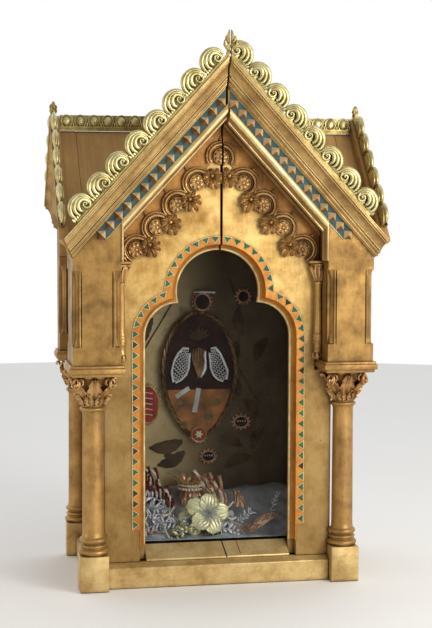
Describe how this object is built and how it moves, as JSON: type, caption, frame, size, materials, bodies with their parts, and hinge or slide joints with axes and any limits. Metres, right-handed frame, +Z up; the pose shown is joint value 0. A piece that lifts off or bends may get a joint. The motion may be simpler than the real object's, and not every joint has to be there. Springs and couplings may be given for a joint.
{
  "type": "reliquary",
  "caption": "Shrine-shaped gilded reliquary with corner columns, a steep moulded gable, a cross roof and a glazed trefoil opening.",
  "frame": {"origin": "centre of the bounding box on the plane the plinth stands on", "axes": "+X to the right, -Y towards the viewer of the glazed front, +Z up"},
  "size_m": [0.504, 0.319, 0.848],
  "materials": {
    "gilded_wood": "satin",
    "bare_wood": "matte",
    "silver_gilt_trim": "polished",
    "glass": "gloss",
    "cloth_board": "matte",
    "medallion": "matte",
    "gilt_metal": "satin"
  },
  "bodies": {
    "root": {"arcade_left": "gilded_wood", "arcade_right": "gilded_wood", "back_board": "gilded_wood", "capital_front_left": "gilded_wood", "capital_front_right": "gilded_wood", "capital_rear_left": "gilded_wood", "capital_rear_right": "gilded_wood", "ceiling_board": "bare_wood", "colonnette_left": "gilded_wood", "colonnette_right": "gilded_wood", "column_front_left": "gilded_wood", "column_front_right": "gilded_wood", "column_rear_left": "gilded_wood", "column_rear_right": "gilded_wood", "cresting_left": "silver_gilt_trim", "cresting_right": "silver_gilt_trim", "crockets_front_left": "silver_gilt_trim", "crockets_front_right": "silver_gilt_trim", "crockets_side_left": "silver_gilt_trim", "crockets_side_right": "silver_gilt_trim", "crown": "gilt_metal", "floor_board": "bare_wood", "front_board_left": "gilded_wood", "front_board_right": "gilded_wood", "front_cornice_left": "gilded_wood", "front_cornice_right": "gilded_wood", "front_gable_left": "gilded_wood", "front_gable_right": "gilded_wood", "glass_pane": "glass", "impost_front_left": "gilded_wood", "impost_front_right": "gilded_wood", "impost_rear_left": "gilded_wood", "impost_rear_right": "gilded_wood", "medallion": "medallion", "metal_flowers": "gilt_metal", "pier_front_left": "gilded_wood", "pier_front_right": "gilded_wood", "pier_rear_left": "gilded_wood", "pier_rear_right": "gilded_wood", "plinth_block_front_left": "gilded_wood", "plinth_block_front_right": "gilded_wood", "plinth_block_rear_left": "gilded_wood", "plinth_block_rear_right": "gilded_wood", "plinth_rail_back": "gilded_wood", "plinth_rail_front": "gilded_wood", "plinth_rail_left": "gilded_wood", "plinth_rail_right": "gilded_wood", "relic_board": "cloth_board", "roof_left": "gilded_wood", "roof_right": "gilded_wood", "side_board_left": "gilded_wood", "side_board_right": "gilded_wood", "side_cornice_front_left": "gilded_wood", "side_cornice_front_right": "gilded_wood", "side_cornice_rear_left": "gilded_wood", "side_cornice_rear_right": "gilded_wood", "side_gable_left": "gilded_wood", "side_gable_right": "gilded_wood", "sill": "gilded_wood"}
  },
  "joints": []
}
